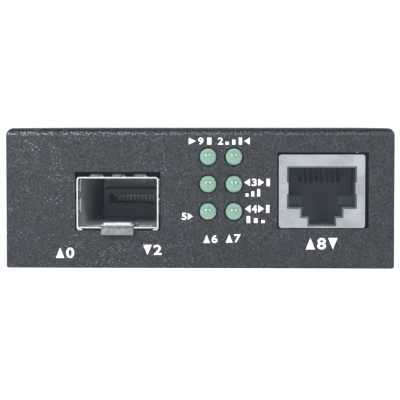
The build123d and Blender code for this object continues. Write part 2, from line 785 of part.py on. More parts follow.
# RJ45 shell: folded shield with the stepped mouth, two side springs and two solder tabs
with BuildPart() as rj45_shell:
    with BuildSketch(across(jack_front_y)):
        with Locations((jack_x, jack_bottom_z)):
            Rectangle(jack_width, jack_height, align=(Align.CENTER, Align.MIN))
    extrude(amount=-jack_depth)
    chamfer(rj45_shell.edges().filter_by(Axis.Y), length=jack_nick)
    with BuildSketch(across(jack_front_y + jack_sheet)):
        with Locations((jack_x, jack_bottom_z + jack_sheet)):
            Rectangle(
                jack_width - 2 * jack_sheet,
                jack_height - 2 * jack_sheet,
                align=(Align.CENTER, Align.MIN),
            )
    extrude(amount=2 * jack_sheet - jack_depth, mode=Mode.SUBTRACT)
    with BuildSketch(Plane.XY.offset(jack_bottom_z)):
        with Locations((jack_x, jack_front_y + shell_floor_length)):
            Rectangle(
                jack_width - 2 * jack_nick,
                jack_depth - shell_floor_length - jack_sheet,
                align=(Align.CENTER, Align.MIN),
            )
    extrude(amount=jack_sheet, mode=Mode.SUBTRACT)
    with BuildSketch(across(jack_front_y)):
        with Locations((jack_x, mouth_top_z)):
            Rectangle(mouth_width, mouth_height, align=(Align.CENTER, Align.MAX))
            Rectangle(step_width, mouth_top_z - step_bottom_z, align=(Align.CENTER, Align.MAX))
            Rectangle(notch_width, mouth_top_z - notch_bottom_z, align=(Align.CENTER, Align.MAX))
    extrude(amount=-jack_sheet, mode=Mode.SUBTRACT)
    for side in (-1, 1):
        with BuildSketch(across(jack_front_y)):
            with Locations((jack_x + side * (mouth_width - spring_poke) / 2, mouth_top_z - spring_drop)):
                Rectangle(spring_poke, spring_height, align=(Align.CENTER, Align.MAX))
        extrude(amount=-spring_length)
    with BuildSketch(Plane.XY.offset(jack_bottom_z + jack_nick)):
        with Locations(*shell_tabs):
            Rectangle(jack_sheet, shell_tab_width)
    extrude(amount=board_bottom_z - lead_below - jack_bottom_z - jack_nick)
save(rj45_shell, "rj45_shell")

# RJ45 housing: plug cavity with latch steps, end stops, wire channel, rear comb and board pegs
cavity_half = mouth_width / 2 - housing_inset
ceiling_z = mouth_top_z - housing_inset
cavity_floor_z = mouth_bottom_z + housing_inset
housing_front_y = jack_front_y + jack_sheet
housing_rear_y = jack_rear_y - jack_sheet - housing_play
cavity_rear_y = jack_front_y + cavity_depth
wires_half_width = contact_pitch * (contact_count - 1) / 2 + contact_groove / 2
with BuildPart() as rj45_housing:
    housing_bottom_z = jack_bottom_z + jack_sheet + housing_play
    housing_top_z = jack_top_z - jack_sheet - housing_play
    with BuildSketch(across(housing_front_y)):
        with Locations((jack_x, housing_bottom_z)):
            Rectangle(
                jack_width - 2 * (jack_sheet + housing_play),
                housing_top_z - housing_bottom_z,
                align=(Align.CENTER, Align.MIN),
            )
    extrude(amount=housing_front_y - housing_rear_y)
    with BuildSketch(across(housing_front_y)):
        with Locations((jack_x, ceiling_z)):
            Rectangle(2 * cavity_half, ceiling_z - cavity_floor_z, align=(Align.CENTER, Align.MAX))
            Rectangle(
                step_width - 2 * housing_inset,
                ceiling_z - step_bottom_z - housing_inset,
                align=(Align.CENTER, Align.MAX),
            )
            Rectangle(
                notch_width - 2 * housing_inset,
                ceiling_z - notch_bottom_z - housing_inset,
                align=(Align.CENTER, Align.MAX),
            )
    extrude(amount=housing_front_y - cavity_rear_y, mode=Mode.SUBTRACT)
    with BuildSketch(across(cavity_rear_y)):
        for side in (-1, 1):
            with Locations((jack_x + side * (cavity_half - stop_width / 2), cavity_floor_z)):
                Rectangle(stop_width, stop_height, align=(Align.CENTER, Align.MIN))
    extrude(amount=stop_length)
    # pockets behind the shell's side springs
    with BuildSketch(across(housing_front_y)):
        for side in (-1, 1):
            spring_mid_z = mouth_top_z - spring_drop - spring_height / 2
            with Locations((jack_x + side * (cavity_half + housing_inset / 2), spring_mid_z)):
                Rectangle(2 * housing_inset, spring_height + housing_inset)
    extrude(amount=-spring_length, mode=Mode.SUBTRACT)
    # channel over the ceiling, comb in the back wall and duct down to the board
    with BuildSketch(Plane.XY.offset(ceiling_z)):
        with Locations((jack_x, wire_channel_front_y)):
            Rectangle(
                2 * wires_half_width,
                duct_rear_y - wire_channel_front_y,
                align=(Align.CENTER, Align.MIN),
            )
    extrude(amount=wire_channel_height, mode=Mode.SUBTRACT)
    with BuildSketch(Plane.XY.offset(ceiling_z)):
        with Locations(*[(x, cavity_rear_y) for x in contact_xs]):
            Rectangle(contact_groove, 2 * contact_groove, align=(Align.CENTER, Align.MIN))
    extrude(amount=-contact_drop - contact_groove, mode=Mode.SUBTRACT)
    with BuildSketch(Plane.XY.offset(ceiling_z)):
        with Locations((jack_x, duct_front_y)):
            Rectangle(
                2 * wires_half_width, duct_rear_y - duct_front_y, align=(Align.CENTER, Align.MIN)
            )
    extrude(amount=housing_bottom_z - ceiling_z, mode=Mode.SUBTRACT)
    with BuildSketch(Plane.XY.offset(board_z)):
        with Locations(*jack_pegs):
            Circle(peg_radius + peg_collar)
    extrude(amount=housing_bottom_z - board_z)
    with BuildSketch(Plane.XY.offset(board_z)):
        with Locations(*jack_pegs):
            Circle(peg_radius)
    extrude(amount=-board_thickness - lead_below)
save(rj45_housing, "rj45_housing")

# RJ45 contacts: eight spring wires, up the duct, forward over the ceiling and back into the comb
half_wire = contact_wire / 2
hairpin_low_z = wire_top_z - 2 * contact_wire
wire_end_y = cavity_rear_y + contact_groove
wire_end_z = ceiling_z - contact_drop
with BuildPart() as rj45_contacts:
    for pin_x, pin_y in jack_pins:
        with BuildSketch(Plane.YZ.offset(pin_x)):
            with BuildLine():
                Polyline(
                    (pin_y + half_wire, board_bottom_z - lead_below),
                    (pin_y + half_wire, wire_top_z + half_wire),
                    (hairpin_y, wire_top_z + half_wire),
                    (hairpin_y - half_wire, wire_top_z),
                    (hairpin_y - half_wire, hairpin_low_z),
                    (hairpin_y, hairpin_low_z - half_wire),
                    (wire_end_y, wire_end_z - half_wire),
                    (wire_end_y, wire_end_z + half_wire),
                    (hairpin_y + half_wire, hairpin_low_z + half_wire),
                    (hairpin_y + half_wire, wire_top_z - half_wire),
                    (pin_y - half_wire, wire_top_z - half_wire),
                    (pin_y - half_wire, board_bottom_z - lead_below),
                    close=True,
                )
            make_face()
        extrude(amount=half_wire, both=True)
save(rj45_contacts, "rj45_contacts")

# Lamps: six domed green lamps, each with a flange behind the panel
lamp_rows = ("bottom", "middle", "top")
for column, lamp_x in zip(("left", "right"), lamp_column_xs):
    for row, lamp_z in zip(lamp_rows, lamp_row_zs):
        with BuildPart() as led:
            with BuildSketch(Plane(origin=(lamp_x, 0, lamp_z), x_dir=(0, 1, 0), z_dir=(1, 0, 0))):
                with BuildLine():
                    Polyline(
                        (lamp_tip_y, 0),
                        (holder_front_y, 0),
                        (holder_front_y, lamp_flange_radius),
                        (lamp_front_y, lamp_flange_radius),
                        (lamp_front_y, lamp_radius),
                        (lamp_tip_y + lamp_radius, lamp_radius),
                    )
                    TangentArc(
                        (lamp_tip_y + lamp_radius, lamp_radius), (lamp_tip_y, 0), tangent=(-1, 0)
                    )
                make_face()
            revolve(axis=Axis((lamp_x, 0, lamp_z), (0, 1, 0)))
        save(led, f"led_{column}_{row}")

# Lamp leads: back through the holder, then down through the board, the upper rows further back
with BuildPart() as led_leads:
    for i, (lead_x, lead_y) in enumerate(lamp_leads):
        lead_z = lamp_row_zs[i // 2 % len(lamp_row_zs)]
        with BuildSketch(Plane.YZ.offset(lead_x)):
            with BuildLine():
                Polyline(
                    (holder_front_y, lead_z + lead_size / 2),
                    (lead_y + lead_size / 2, lead_z + lead_size / 2),
                    (lead_y + lead_size / 2, board_bottom_z - lead_below),
                    (lead_y - lead_size / 2, board_bottom_z - lead_below),
                    (lead_y - lead_size / 2, lead_z - lead_size / 2),
                    (holder_front_y, lead_z - lead_size / 2),
                    close=True,
                )
            make_face()
        extrude(amount=lead_size / 2, both=True)
save(led_leads, "led_leads")

# Lamp holders: one moulded block behind each column
for column, lamp_x in zip(("left", "right"), lamp_column_xs):
    with BuildPart() as led_holder:
        holder_height = lamp_row_zs[-1] + holder_above - board_z
        with BuildSketch(across(holder_front_y)):
            with Locations((lamp_x, board_z)):
                Rectangle(holder_width, holder_height, align=(Align.CENTER, Align.MIN))
            with Locations(*[(lamp_x + dx, z) for z in lamp_row_zs for dx in lead_offsets]):
                Rectangle(lead_size + hole_play, lead_size + hole_play, mode=Mode.SUBTRACT)
        extrude(amount=-holder_length)
        chamfer(
            led_holder.faces().sort_by(Axis.Z)[-1].edges().filter_by(Axis.X), length=lead_size
        )
    save(led_holder, f"led_holder_{column}")

# DC inlet: moulded body, its nose in the rear panel's hole
with BuildPart() as dc_inlet_body:
    with BuildSketch(across(inlet_rear_y)):
        with Locations((inlet_x, board_z)):
            Rectangle(inlet_width, inlet_height, align=(Align.CENTER, Align.MIN))
    extrude(amount=inlet_length)
    fillet(
        dc_inlet_body.faces().sort_by(Axis.Z)[-1].edges().filter_by(Axis.Y),
        radius=inlet_top_radius,
    )
    with BuildSketch(across(inlet_rear_y)):
        with Locations((inlet_x, inlet_z)):
            Circle(inlet_nose_radius)
    extrude(amount=-inlet_nose_length)
    with BuildSketch(across(inlet_nose_y)):
        with Locations((inlet_x, inlet_z)):
            Circle(inlet_bore_radius)
    extrude(amount=inlet_bore_depth, mode=Mode.SUBTRACT)
    with BuildSketch(across(inlet_bore_y)):
        with Locations((inlet_x, inlet_z)):
            Circle(inlet_root_radius)
    extrude(amount=inlet_bore_y - inlet_back_y, mode=Mode.SUBTRACT)
    # recess for the pin's tag on the back, and channel and slot for the spring
    with BuildSketch(across(inlet_back_y)):
        with Locations((inlet_x, inlet_z + tag_width / 2)):
            Rectangle(
                tag_width, inlet_axis_height + tag_width / 2, align=(Align.CENTER, Align.MAX)
            )
    extrude(amount=-tag_sheet, mode=Mode.SUBTRACT)
    with BuildSketch(Plane.XY.offset(inlet_z - inlet_bore_radius / 2)):
        with Locations((inlet_x, spring_tag_y - tag_sheet / 2)):
            Rectangle(
                tag_width,
                inlet_nose_y - inlet_nose_length - spring_tag_y,
                align=(Align.CENTER, Align.MIN),
            )
    extrude(amount=-inlet_bore_radius / 2 - tag_sheet, mode=Mode.SUBTRACT)
    with BuildSketch(Plane.XY.offset(board_z)):
        with Locations((inlet_x, spring_tag_y)):
            Rectangle(tag_width, tag_sheet)
    extrude(amount=inlet_axis_height - inlet_bore_radius, mode=Mode.SUBTRACT)
save(dc_inlet_body, "dc_inlet_body")

# Centre pin of the inlet, its nose bevelled, with a stouter root and its tag down the back of the body
with BuildPart() as dc_inlet_pin:
    with BuildSketch(across(inlet_bore_y + inlet_pin_length)):
        with Locations((inlet_x, inlet_z)):
            Circle(inlet_pin_radius)
    extrude(amount=inlet_pin_length)
    chamfer(dc_inlet_pin.faces().sort_by(Axis.Y)[-1].edges(), length=inlet_pin_radius / 2)
    with BuildSketch(across(inlet_bore_y)):
        with Locations((inlet_x, inlet_z)):
            Circle(inlet_root_radius)
    extrude(amount=inlet_bore_y - inlet_back_y)
    with BuildSketch(across(inlet_back_y)):
        with Locations((inlet_x, inlet_z + tag_width / 2)):
            Rectangle(
                tag_width,
                inlet_axis_height + tag_width / 2 + tag_below,
                align=(Align.CENTER, Align.MAX),
            )
    extrude(amount=-tag_sheet)
save(dc_inlet_pin, "dc_inlet_pin")

# Sleeve spring of the inlet: a leaf along the floor of the bore and its tag
leaf_low_z = inlet_z - inlet_bore_radius - tag_sheet / 4
leaf_tip_y = inlet_nose_y - 3 * inlet_nose_length
with BuildPart() as dc_inlet_spring:
    with BuildSketch(Plane.YZ.offset(inlet_x)):
        with BuildLine():
            Polyline(
                (spring_tag_y - tag_sheet / 2, board_z - tag_below),
                (spring_tag_y - tag_sheet / 2, leaf_low_z + tag_sheet),
                (leaf_tip_y, leaf_low_z + tag_sheet),
                (leaf_tip_y, leaf_low_z),
                (spring_tag_y + tag_sheet / 2, leaf_low_z),
                (spring_tag_y + tag_sheet / 2, board_z - tag_below),
                close=True,
            )
        make_face()
    extrude(amount=tag_width / 2, both=True)
save(dc_inlet_spring, "dc_inlet_spring")

# Line transformer behind the RJ45 jack, with its gull-wing leads
transformer_x = jack_x + transformer_from_jack[0]
transformer_y = jack_rear_y + transformer_from_jack[1]
with BuildPart() as line_transformer:
    with BuildSketch(Plane.XY.offset(board_z)):
        with Locations((transformer_x, transformer_y)):
            Rectangle(transformer_size[0], transformer_size[1])
    extrude(amount=transformer_size[2])
    chamfer(line_transformer.faces().sort_by(Axis.Z)[-1].edges(), length=transformer_bevel)
save(line_transformer, "line_transformer")

with BuildPart() as line_transformer_leads:
    for side in (-1, 1):
        root_y = transformer_y + side * transformer_size[1] / 2
        for i in range(transformer_leads_a_side):
            lead_x = transformer_x + transformer_lead_pitch * (i - (transformer_leads_a_side - 1) / 2)
            with BuildSketch(Plane.YZ.offset(lead_x)):
                with BuildLine():
                    Polyline(
                        (root_y, board_z + lead_shoulder),
                        (root_y + side * 2 * lead_sheet, board_z + lead_shoulder),
                        (root_y + side * 2 * lead_sheet, board_z + lead_sheet),
                        (root_y + side * 4 * lead_sheet, board_z + lead_sheet),
                        (root_y + side * 4 * lead_sheet, board_z),
                        (root_y + side * lead_sheet, board_z),
                        (root_y + side * lead_sheet, board_z + lead_shoulder - lead_sheet),
                        (root_y, board_z + lead_shoulder - lead_sheet),
                        close=True,
                    )
                make_face()
            extrude(amount=lead_sheet / 2, both=True)
save(line_transformer_leads, "line_transformer_leads")

# Converter chip: a flat leadless package with a dimple at its first pin
chip_x, chip_y = chip_from_front[0], front_y + chip_from_front[1]
with BuildPart() as converter_chip:
    with BuildSketch(Plane.XY.offset(board_z)):
        with Locations((chip_x, chip_y)):
            Rectangle(chip_size[0], chip_size[1])
    extrude(amount=chip_size[2])
    with BuildSketch(Plane.XY.offset(board_z + chip_size[2])):
        with Locations((chip_x - chip_size[0] / 3, chip_y + chip_size[1] / 3)):
            Circle(chip_dimple_radius)
    extrude(amount=-chip_dimple_depth, mode=Mode.SUBTRACT)
save(converter_chip, "converter_chip")

# Clock crystal behind the cage: an oval can on a flanged foot
with BuildPart() as clock_crystal:
    with BuildSketch(Plane.XY.offset(board_z)):
        with Locations((cage_x, cage_rear_y + crystal_from_cage)):
            SlotOverall(crystal_size[0], crystal_size[1])
    extrude(amount=crystal_rim)
    with BuildSketch(Plane.XY.offset(board_z + crystal_rim)):
        with Locations((cage_x, cage_rear_y + crystal_from_cage)):
            SlotOverall(crystal_size[0] - 2 * crystal_rim, crystal_size[1] - 2 * crystal_rim)
    extrude(amount=crystal_size[2] - crystal_rim)
    chamfer(clock_crystal.faces().sort_by(Axis.Z)[-1].edges(), length=crystal_rim)
save(clock_crystal, "clock_crystal")

# Power inductor: a square ferrite block with cut corners and a round pot on top
inductor_at = (inlet_x + inductor_from_inlet, board_rear_y - inductor_from_rear)
with BuildPart() as power_inductor:
    with BuildSketch(Plane.XY.offset(board_z)):
        with Locations(inductor_at):
            Rectangle(inductor_size[0], inductor_size[1])
        chamfer(vertices(), length=inductor_corner)
    extrude(amount=inductor_size[2] / 2)
    with BuildSketch(Plane.XY.offset(board_z + inductor_size[2] / 2)):
        with Locations(inductor_at):
            Circle(inductor_pot_radius)
    extrude(amount=inductor_size[2] / 2)
save(power_inductor, "power_inductor")

# Voltage regulator: moulded body with a solder tab on one side and three leads on the other
regulator_x = inlet_x + regulator_from_inlet
regulator_y = board_rear_y - regulator_from_rear
with BuildPart() as voltage_regulator:
    with BuildSketch(Plane.XY.offset(board_z)):
        with Locations((regulator_x, regulator_y)):
            Rectangle(regulator_tab_width, regulator_span / 2, align=(Align.CENTER, Align.MIN))
            with GridLocations(regulator_lead_pitch, 0, 3, 1):
                Rectangle(regulator_lead_width, regulator_span / 2, align=(Align.CENTER, Align.MAX))
    extrude(amount=lead_sheet)
    with BuildSketch(Plane.XY.offset(board_z)):
        with Locations((regulator_x, regulator_y)):
            Rectangle(regulator_body[0], regulator_body[1])
    extrude(amount=regulator_body[2], taper=5)
save(voltage_regulator, "voltage_regulator")

# Electrolytic capacitors: a can with a rolled groove on a square foot with two cut corners
groove_height, groove_depth = capacitor_groove
for from_rear, label in (
    (input_capacitor_from_rear, "input_capacitor"),
    (output_capacitor_from_rear, "output_capacitor"),
):
    place = (inlet_x + capacitor_from_inlet, board_rear_y - from_rear)
    with BuildPart() as capacitor:
        with BuildSketch(Plane.XY.offset(board_z)):
            with Locations(place):
                Rectangle(capacitor_base, capacitor_base)
            chamfer(vertices().group_by(Axis.Y)[0], length=capacitor_base_corner)
        extrude(amount=capacitor_base_height)
        with BuildSketch(Plane.XY.offset(board_z + capacitor_base_height)):
            with Locations(place):
                Circle(capacitor_radius - groove_depth)
        extrude(amount=groove_height)
        with BuildSketch(Plane.XY.offset(board_z + capacitor_base_height + groove_height)):
            with Locations(place):
                Circle(capacitor_radius)
        extrude(amount=capacitor_height - capacitor_base_height - groove_height)
    save(capacitor, label)

# Small chip resistors and capacitors
with BuildPart() as chip_passives:
    with BuildSketch(Plane.XY.offset(board_z)):
        with Locations((jack_x + passives_from_jack[0], jack_rear_y + passives_from_jack[1])):
            with GridLocations(*passive_pitch, passive_column_count, passive_row_count):
                Rectangle(passive_size[0], passive_size[1])
    extrude(amount=passive_size[2])
save(chip_passives, "chip_passives")
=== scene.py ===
import math

import bmesh
import bpy
import numpy as np
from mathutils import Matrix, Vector


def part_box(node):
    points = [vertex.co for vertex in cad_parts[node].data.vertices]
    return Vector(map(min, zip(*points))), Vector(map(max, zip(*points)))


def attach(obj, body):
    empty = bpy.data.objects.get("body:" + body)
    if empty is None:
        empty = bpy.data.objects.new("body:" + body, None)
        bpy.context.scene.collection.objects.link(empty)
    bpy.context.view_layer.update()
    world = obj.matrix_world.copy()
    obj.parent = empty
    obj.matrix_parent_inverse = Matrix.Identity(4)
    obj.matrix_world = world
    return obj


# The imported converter, in metres: +Z up, its front panel faces -Y, and its underside stands on z = 0.
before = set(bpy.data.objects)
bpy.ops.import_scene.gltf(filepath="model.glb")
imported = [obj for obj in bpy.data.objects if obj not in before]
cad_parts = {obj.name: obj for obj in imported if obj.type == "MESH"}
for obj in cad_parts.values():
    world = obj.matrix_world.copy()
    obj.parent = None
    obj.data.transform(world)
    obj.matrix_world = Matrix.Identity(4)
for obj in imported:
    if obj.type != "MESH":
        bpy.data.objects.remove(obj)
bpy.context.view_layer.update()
mm = 0.001

# Studio: a pale floor in a white surround that dims upwards and behind the camera's right, and two soft
# boxes in front, left and right, which draw two points on each lamp's dome. The camera looks at the front
# panel from the height of the case's top, a little right of its middle.
floor_radius = 3.0
floor_facets = 96
floor_glow = 0.70
floor_cloud = 0.4
floor_pale, floor_paler = 0.93, 0.95
surround_level = 1.05
sky_level = 0.34
sky_from, sky_to = 0.20, 0.50  # sine of the height at which the surround dims
shadow_level = 0.15  # of the surround, at the front's right
shadow_left, shadow_right = -0.7, 0.7  # across the surround, where the shadow begins and is full
shadow_back, shadow_front = 0.1, -0.5  # the same from back to front
panel_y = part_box("cover")[0][1]
camera_distance = 0.300
camera_right = 0.010
camera_rise = 0.0135
aim_height = 12.5 * mm
aim_right = 0.08 * mm
picture_width = 72.9 * mm  # of the front panel's plane, across the picture
veil = (0.017, 0.021, 0.027)  # bluish stray light that lifts the photograph's blacks
box_height = math.radians(25)
box_turn = math.radians(31)


def light(name, turn, rise, distance, size, watts):
    """A round soft light aimed at the front panel, turn radians to its right and rise radians up."""
    lamp = bpy.data.lights.new(name, "AREA")
    lamp.shape = "DISK"
    lamp.size = size
    lamp.energy = watts
    holder = bpy.data.objects.new(name, lamp)
    across = distance * math.cos(rise)
    holder.location = aim + Vector(
        (across * math.sin(turn), -across * math.cos(turn), distance * math.sin(rise))
    )
    holder.rotation_euler = (aim - holder.location).to_track_quat("-Z", "Y").to_euler()
    bpy.context.scene.collection.objects.link(holder)


aim = Vector((aim_right, panel_y, aim_height))
light("left_box", turn=-box_turn, rise=box_height, distance=0.36, size=0.115, watts=0.95)
light("right_box", turn=box_turn, rise=box_height, distance=0.90, size=0.26, watts=4.6)

lens = bpy.data.cameras.new("camera")
lens.sensor_width = 36.0
lens.lens = lens.sensor_width * camera_distance / picture_width
lens.clip_start, lens.clip_end = 0.01, 20.0
camera = bpy.data.objects.new("camera", lens)
camera.location = aim + Vector((camera_right, -camera_distance, camera_rise))
camera.rotation_euler = (aim - camera.location).to_track_quat("-Z", "Y").to_euler()
bpy.context.scene.collection.objects.link(camera)
bpy.context.scene.camera = camera
view = bpy.context.scene.view_settings
view.view_transform = "Standard"
view.use_curve_mapping = True
view.curve_mapping.black_level = [-v for v in veil]
view.curve_mapping.update()


class Reading:
    """A value over a surface. Arithmetic on readings adds Math nodes to their finish."""

    def __init__(self, finish, socket):
        self.finish = finish
        self.socket = socket

    def __add__(self, other):
        return self.finish.maths("ADD", self, other)

    def __sub__(self, other):
        return self.finish.maths("SUBTRACT", self, other)

    def __rsub__(self, other):
        return self.finish.maths("SUBTRACT", other, self)

    def __mul__(self, other):
        return self.finish.maths("MULTIPLY", self, other)

    def __gt__(self, other):
        return self.finish.maths("GREATER_THAN", self, other)

    def __lt__(self, other):
        return self.finish.maths("LESS_THAN", self, other)

    __radd__ = __add__
    __rmul__ = __mul__


class Web:
    """A node tree with one shader, and the place that its patterns are worked out from."""

    def __init__(self, tree, shader, place):
        self.tree = tree
        self.shader = tree.nodes[shader]
        self.place = self.node("ShaderNodeTexCoord", output=place)

    def node(self, kind, settings=(), values=(), output=0):
        """Adds a node, its settings first and then its sockets' values or links. Returns one output."""
        made = self.tree.nodes.new(kind)
        for key, value in dict(settings).items():
            setattr(made, key, value)
        for key, value in dict(values).items():
            if isinstance(value, Reading):
                self.tree.links.new(value.socket, made.inputs[key])
            else:
                made.inputs[key].default_value = value
        return Reading(self, made.outputs[output])

    def maths(self, operation, *values):
        """One Math node on numbers or readings."""
        return self.node("ShaderNodeMath", {"operation": operation}, dict(enumerate(values)))

    def stretched(self, scale):
        """The place on the object, scaled by a vector, so that a pattern on it is drawn out."""
        settings = {"vector_type": "POINT"}
        return self.node("ShaderNodeMapping", settings, {"Vector": self.place, "Scale": scale})

    def noise(self, size, detail=2.0, at=None):
        """Cloudy noise about 0.5 whose grains are about size metres wide."""
        values = {"Vector": at or self.place, "Scale": 1 / size, "Detail": detail}
        return self.node("ShaderNodeTexNoise", {}, values)

    def grains(self, size):
        """Distance from the nearest of scattered points, about size metres apart."""
        return self.node("ShaderNodeTexVoronoi", {}, {"Vector": self.place, "Scale": 1 / size})

    def axis(self, name):
        """One coordinate of the place on the object, in metres."""
        return self.node("ShaderNodeSeparateXYZ", {}, {"Vector": self.place}, name)

    def upward(self):
        """The Z of the surface's direction: 1 where it faces up, 0 where it is upright."""
        direction = self.node("ShaderNodeNewGeometry", output="Normal")
        return self.node("ShaderNodeSeparateXYZ", {}, {"Vector": direction}, "Z")

    def step(self, value, low, high):
        """0 at low and 1 at high, smooth between and level beyond. High may be the smaller number."""
        return self.node(
            "ShaderNodeMapRange",
            {"interpolation_type": "SMOOTHSTEP"},
            {"Value": value, "From Min": low, "From Max": high},
        )

    def colours(self, mask, low, high):
        """Colour low where the mask is 0 and colour high where it is 1."""
        factor, first, second, mixed = 0, 6, 7, 2  # the Mix node's sockets for colours
        values = {factor: mask, first: low, second: high}
        return self.node("ShaderNodeMix", {"data_type": "RGBA"}, values, mixed)

    def rounded(self, radius):
        """The surface's direction with edges rounded to radius, and a mask that is 1 on those edges."""
        unturned, turned = 0.98, 0.86  # cosine between the true and the rounded direction
        soft = self.node("ShaderNodeBevel", {"samples": 6}, {"Radius": radius})
        true = self.node("ShaderNodeNewGeometry", output="Normal")
        product = {"operation": "DOT_PRODUCT"}
        cosine = self.node("ShaderNodeVectorMath", product, {0: soft, 1: true}, "Value")
        return soft, self.step(cosine, unturned, turned)

    def bump(self, height, depth, strength, under=None):
        """A relief of the given depth in metres; under is the relief that it lies on."""
        values = {"Height": height, "Distance": depth, "Strength": strength}
        if under:
            values["Normal"] = under
        return self.node("ShaderNodeBump", {}, values)

    def feed(self, **links):
        """Links readings to the shader's sockets, whose names have _ for a space here."""
        for socket, value in links.items():
            self.tree.links.new(value.socket, self.shader.inputs[socket.replace("_", " ")])


class Finish(Web):
    """One material: constants go on the shader's own sockets, and feed() links what changes over it."""

    def __init__(self, name, **constants):
        self.material = bpy.data.materials.new(name)
        self.material.use_nodes = True
        super().__init__(self.material.node_tree, "Principled BSDF", "Object")
        for socket, value in constants.items():
            self.shader.inputs[socket.replace("_", " ")].default_value = value

    def coat(self, *names):
        """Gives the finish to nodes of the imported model."""
        for name in names:
            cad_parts[name].material_slots[0].material = self.material


def grey(level):
    """An opaque grey as a colour of four numbers."""
    return (level, level, level, 1.0)


surround = bpy.data.worlds.new("surround")
surround.use_nodes = True
bpy.context.scene.world = surround
sky = Web(surround.node_tree, "Background", "Generated")
dimming = sky.step(sky.axis("Z"), sky_from, sky_to)
rightwards = sky.step(sky.axis("X"), shadow_left, shadow_right)
frontwards = sky.step(sky.axis("Y"), shadow_back, shadow_front)
walls = sky.colours(rightwards * frontwards, grey(surround_level), grey(shadow_level))
sky.feed(Color=sky.colours(dimming, walls, grey(sky_level)))

floor_angles = np.linspace(0, 2 * np.pi, floor_facets, endpoint=False)
floor_ring = np.stack([np.cos(floor_angles), np.sin(floor_angles), 0 * floor_angles], axis=1)
floor_mesh = bpy.data.meshes.new("floor")
floor_mesh.from_pydata((floor_radius * floor_ring).tolist(), [], [list(range(floor_facets))])
floor = bpy.data.objects.new("floor", floor_mesh)
bpy.context.scene.collection.objects.link(floor)
pale = Finish("pale_floor", Roughness=0.75, Specular_IOR_Level=0.2, Emission_Strength=floor_glow)
pale.shader.inputs["Emission Color"].default_value = grey(1.0)
pale.feed(Base_Color=pale.colours(pale.noise(floor_cloud), grey(floor_pale), grey(floor_paler)))
floor_mesh.materials.append(pale.material)

# Cover and base: folded steel sheet, powder coated dark grey after punching, so that the grain of the
# coat runs over the folds and round the punched edges. Fine lighter specks stand in the grain, which is
# darker in its valleys, partly in painted shade. Painted highlights: the specks crowd on the fold above
# the panel, where the soft boxes catch it, and stand thicker towards the panel's left end, nearer the
# left box, and a pale rim runs along each cut edge.
grain_size, grain_depth = 0.30 * mm, 0.085 * mm
speck_size, speck_rim, speck_heart = 0.46 * mm, 0.32, 0.18  # the rim and the heart in speck sizes
# Painted highlight: extra specks crowded on the fold above the panel, where the soft boxes' light catches
# it.
fold_speck_size, fold_speck_rim, fold_speck_heart = 0.36 * mm, 0.50, 0.24
fold_front, fold_front_full = 0.02, 0.16  # Z of the direction at which the fold's specks begin
fold_top, fold_top_full = 0.60, 0.42  # and the same where they end
patch_size = 2.0 * mm
gloss_size = 0.8 * mm
coat_edge = 0.08 * mm
# Painted highlight: the specks stand thicker towards the left end, nearer the left box, and thin out to
# the right.
few_specks_x, many_specks_x = 30 * mm, -34 * mm
fewest_specks = 0.3  # of the specks at the left end
edge_highlight_share = 0.7
shaded_valley, ridge = (0.002, 0.003, 0.004, 1), (0.019, 0.023, 0.029, 1)
speck_colour, fold_highlight_colour = (0.17, 0.185, 0.205, 1), (0.19, 0.205, 0.23, 1)
edge_highlight_colour = (0.17, 0.18, 0.20, 1)
powder = Finish("powder_coat", Specular_IOR_Level=0.30)
grain = powder.noise(grain_size, detail=3.0)
specks = powder.step(powder.grains(speck_size), speck_rim, speck_heart)
# The ground is darker in the grain's valleys and lighter on its ridges: partly the coat's own mottling,
# partly painted shade in the valleys.
ground = powder.colours(powder.step(grain, 0.42, 0.60), shaded_valley, ridge)
# Painted highlight: more specks towards the left box.
towards_left_box = powder.step(powder.axis("X"), few_specks_x, many_specks_x)
left_box_share = fewest_specks + (1 - fewest_specks) * towards_left_box
patchy = powder.step(powder.noise(patch_size), 0.35, 0.75) * left_box_share
facing = powder.upward()
# Painted highlight on the fold: lighter specks where the fold faces the soft boxes.
fold = powder.step(facing, fold_front, fold_front_full) * powder.step(facing, fold_top, fold_top_full)
fold_highlight_specks = powder.step(powder.grains(fold_speck_size), fold_speck_rim, fold_speck_heart) * fold * left_box_share
speckled = powder.colours(specks * patchy, ground, speck_colour)
speckled = powder.colours(fold_highlight_specks, speckled, fold_highlight_colour)
# Painted highlight: a pale rim along each cut edge of the coat.
soft_edge, cut_edge = powder.rounded(coat_edge)
powder.feed(Base_Color=powder.colours(cut_edge * edge_highlight_share, speckled, edge_highlight_colour))
powder.feed(Roughness=0.26 + 0.20 * powder.noise(gloss_size))
powder.feed(Normal=powder.bump(grain + 0.6 * specks, grain_depth, 1.0, soft_edge))
powder.coat("cover", "base")

